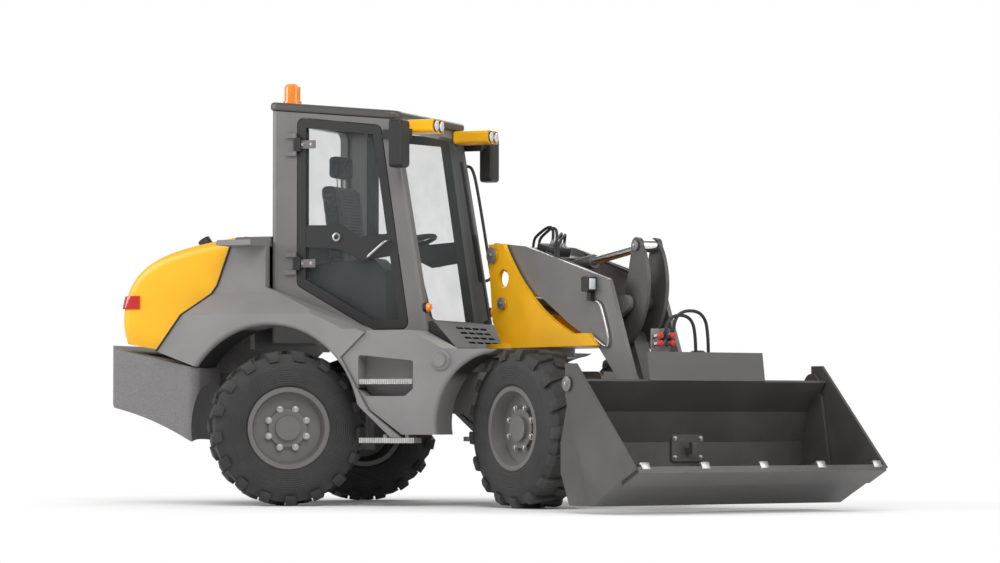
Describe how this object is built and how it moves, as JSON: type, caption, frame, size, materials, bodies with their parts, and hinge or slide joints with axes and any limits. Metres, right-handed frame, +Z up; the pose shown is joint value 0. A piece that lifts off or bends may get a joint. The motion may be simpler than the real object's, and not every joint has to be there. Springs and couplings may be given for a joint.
{
  "type": "wheeled swing loader",
  "caption": "Four-wheel-steer swing loader with a slewing boom, four-in-one bucket, glazed cab and rear engine.",
  "frame": {"origin": "on the ground, in the middle of the overall box as parked, with the boom slewed to the right", "axes": "+X forward along the chassis, +Y to the machine's left, +Z up"},
  "size_m": [5.8286, 3.438, 2.8837],
  "materials": {
    "yellow_paint": "semi-gloss paint",
    "grey_paint": "satin paint",
    "grey_panel": "grained moulding",
    "cast_grey": "rough painted casting",
    "black_plastic": "matte",
    "tyre_rubber": "matte rubber",
    "rim_grey": "satin paint",
    "chrome_rod": "hard chrome",
    "step_alloy": "ribbed",
    "cab_glass": "clear",
    "amber_lens": "clear amber",
    "red_lens": "clear red",
    "seat_fabric": "woven"
  },
  "bodies": {
    "chassis": {"main_frame": "grey_paint", "engine_block": "cast_grey", "rear_cover": "grey_paint", "counterweight": "cast_grey", "tow_hitch": "cast_grey", "deck": "grey_paint", "cowl": "black_plastic", "steps": "step_alloy", "cab_frame": "grey_paint", "cab_roof": "grey_panel", "windscreen": "cab_glass", "rear_window": "cab_glass", "door_hinges": "grey_paint", "seat_base": "black_plastic", "seat_cushion": "seat_fabric", "seat_back": "seat_fabric", "steering_column": "black_plastic", "console": "black_plastic", "work_lamps": "yellow_paint", "beacon": "amber_lens", "mirrors": "black_plastic", "front_axle": "cast_grey", "rear_axle": "cast_grey", "rear_fender_right": "grey_panel", "rear_fender_left": "grey_panel", "side_panel_right": "grey_panel", "side_panel_left": "grey_panel"},
    "hood": {"hood": "yellow_paint", "exhaust_stub": "black_plastic", "tail_lamps": "red_lens"},
    "door_right": {"door_right": "grey_paint", "door_glass_right": "cab_glass"},
    "door_left": {"door_left": "grey_paint", "door_glass_left": "cab_glass"},
    "knuckle_front_left": {"knuckle_front_left": "cast_grey"},
    "wheel_front_left": {"tyre_front_left": "tyre_rubber", "rim_front_left": "rim_grey"},
    "knuckle_front_right": {"knuckle_front_right": "cast_grey"},
    "wheel_front_right": {"tyre_front_right": "tyre_rubber", "rim_front_right": "rim_grey"},
    "knuckle_rear_left": {"knuckle_rear_left": "cast_grey"},
    "wheel_rear_left": {"tyre_rear_left": "tyre_rubber", "rim_rear_left": "rim_grey"},
    "knuckle_rear_right": {"knuckle_rear_right": "cast_grey"},
    "wheel_rear_right": {"tyre_rear_right": "tyre_rubber", "rim_rear_right": "rim_grey"},
    "tower": {"tower": "yellow_paint"},
    "boom": {"boom": "grey_paint", "boom_lamps": "black_plastic"},
    "lift_barrel": {"lift_barrel": "grey_paint"},
    "lift_rod": {"lift_rod": "chrome_rod"},
    "tilt_barrel": {"tilt_barrel": "grey_paint"},
    "tilt_rod": {"tilt_rod": "chrome_rod"},
    "tilt_lever": {"tilt_lever": "grey_paint"},
    "tilt_link": {"tilt_link": "grey_paint"},
    "bucket": {"coupler": "grey_paint", "bucket_moldboard": "grey_paint"},
    "clam": {"bucket_clam": "grey_paint"}
  },
  "joints": [
    {"name": "steer_front_right", "type": "hinge", "parent": "chassis", "child": "knuckle_front_right", "pos_m": [0.63251, -0.11616, 0.52055], "axis": [0, 0, 1], "range_deg": [-3, 69]},
    {"name": "steer_front_left", "type": "hinge", "parent": "chassis", "child": "knuckle_front_left", "pos_m": [0.63251, 1.18584, 0.52055], "axis": [0, 0, 1], "range_deg": [-3, 69]},
    {"name": "steer_rear_left", "type": "hinge", "parent": "chassis", "child": "knuckle_rear_left", "pos_m": [-1.32049, 1.18584, 0.52055], "axis": [0, 0, 1], "range_deg": [-69, 3]},
    {"name": "steer_rear_right", "type": "hinge", "parent": "chassis", "child": "knuckle_rear_right", "pos_m": [-1.32049, -0.11616, 0.52055], "axis": [0, 0, 1], "range_deg": [-69, 3]},
    {"name": "roll_front_left", "type": "hinge", "parent": "knuckle_front_left", "child": "wheel_front_left", "pos_m": [0.71829, 1.31794, 0.52055], "axis": [0.5446, 0.8387, 0], "continuous": true},
    {"name": "roll_front_right", "type": "hinge", "parent": "knuckle_front_right", "child": "wheel_front_right", "pos_m": [0.54673, -0.24825, 0.52055], "axis": [0.5446, 0.8387, 0], "continuous": true},
    {"name": "roll_rear_left", "type": "hinge", "parent": "knuckle_rear_left", "child": "wheel_rear_left", "pos_m": [-1.40627, 1.31794, 0.52055], "axis": [-0.5446, 0.8387, 0], "continuous": true},
    {"name": "roll_rear_right", "type": "hinge", "parent": "knuckle_rear_right", "child": "wheel_rear_right", "pos_m": [-1.23471, -0.24825, 0.52055], "axis": [-0.5446, 0.8387, 0], "continuous": true},
    {"name": "door_right_swing", "type": "hinge", "parent": "chassis", "child": "door_right", "pos_m": [-1.26099, -0.07316, 1.63855], "axis": [0, 0, -1], "range_deg": [0, 95]},
    {"name": "door_left_swing", "type": "hinge", "parent": "chassis", "child": "door_left", "pos_m": [-1.26099, 1.14284, 1.63855], "axis": [0, 0, 1], "range_deg": [0, 95]},
    {"name": "hood_lift", "type": "hinge", "parent": "chassis", "child": "hood", "pos_m": [-1.71899, 0.53484, 1.82855], "axis": [0, 1, 0], "range_deg": [0, 62]},
    {"name": "slew", "type": "hinge", "parent": "chassis", "child": "tower", "pos_m": [0.22601, 0.53484, 1.05655], "axis": [0, 0, 1], "range_deg": [-56, 124]},
    {"name": "boom_lift", "type": "hinge", "parent": "tower", "child": "boom", "pos_m": [0.17627, 0.5684, 1.68855], "axis": [-0.5592, -0.829, 0], "range_deg": [0, 84]},
    {"name": "lift_barrel_swing", "type": "hinge", "parent": "tower", "child": "lift_barrel", "pos_m": [0.27575, 0.50129, 1.35855], "axis": [-0.5592, -0.829, 0], "range_deg": [0, 78.49]},
    {"name": "lift_rod_slide", "type": "slide", "parent": "lift_barrel", "child": "lift_rod", "axis": [0.823, -0.5551, -0.1201], "range_m": [0, 0.4596]},
    {"name": "bucket_tilt", "type": "hinge", "parent": "boom", "child": "bucket", "pos_m": [1.56905, -0.37105, 0.55855], "axis": [0.5592, 0.829, 0], "range_deg": [-20, 70]},
    {"name": "tilt_lever_turn", "type": "hinge", "parent": "boom", "child": "tilt_lever", "pos_m": [1.28718, -0.18092, 1.32855], "axis": [0.5592, 0.829, 0], "range_deg": [-20, 70]},
    {"name": "tilt_link_turn", "type": "hinge", "parent": "tilt_lever", "child": "tilt_link", "pos_m": [1.24158, -0.15017, 1.10855], "axis": [0.5592, 0.829, 0], "range_deg": [-70, 20]},
    {"name": "tilt_barrel_swing", "type": "hinge", "parent": "boom", "child": "tilt_barrel", "pos_m": [0.35037, 0.45097, 1.54855], "axis": [0.5592, 0.829, 0], "range_deg": [-3.01, 10.51]},
    {"name": "tilt_rod_slide", "type": "slide", "parent": "tilt_barrel", "child": "tilt_rod", "axis": [0.8226, -0.5549, 0.124], "range_m": [-0.0922, 0.3222]},
    {"name": "clam_open", "type": "hinge", "parent": "bucket", "child": "clam", "pos_m": [1.77631, -0.51085, 0.79855], "axis": [-0.5592, -0.829, 0], "range_deg": [0, 80]}
  ],
  "couplings": [
    {"joint": "steer_front_left", "follows": "steer_front_right", "ratio": 1},
    {"joint": "steer_rear_left", "follows": "steer_front_right", "ratio": -1},
    {"joint": "steer_rear_right", "follows": "steer_front_right", "ratio": -1},
    {"joint": "lift_barrel_swing", "follows": "boom_lift", "ratio": 0.9343},
    {"joint": "lift_rod_slide", "follows": "boom_lift", "m_per_rad": 0.3125},
    {"joint": "tilt_lever_turn", "follows": "bucket_tilt", "ratio": 1},
    {"joint": "tilt_link_turn", "follows": "bucket_tilt", "ratio": -1},
    {"joint": "tilt_barrel_swing", "follows": "bucket_tilt", "ratio": 0.15},
    {"joint": "tilt_rod_slide", "follows": "bucket_tilt", "m_per_rad": 0.2636}
  ]
}
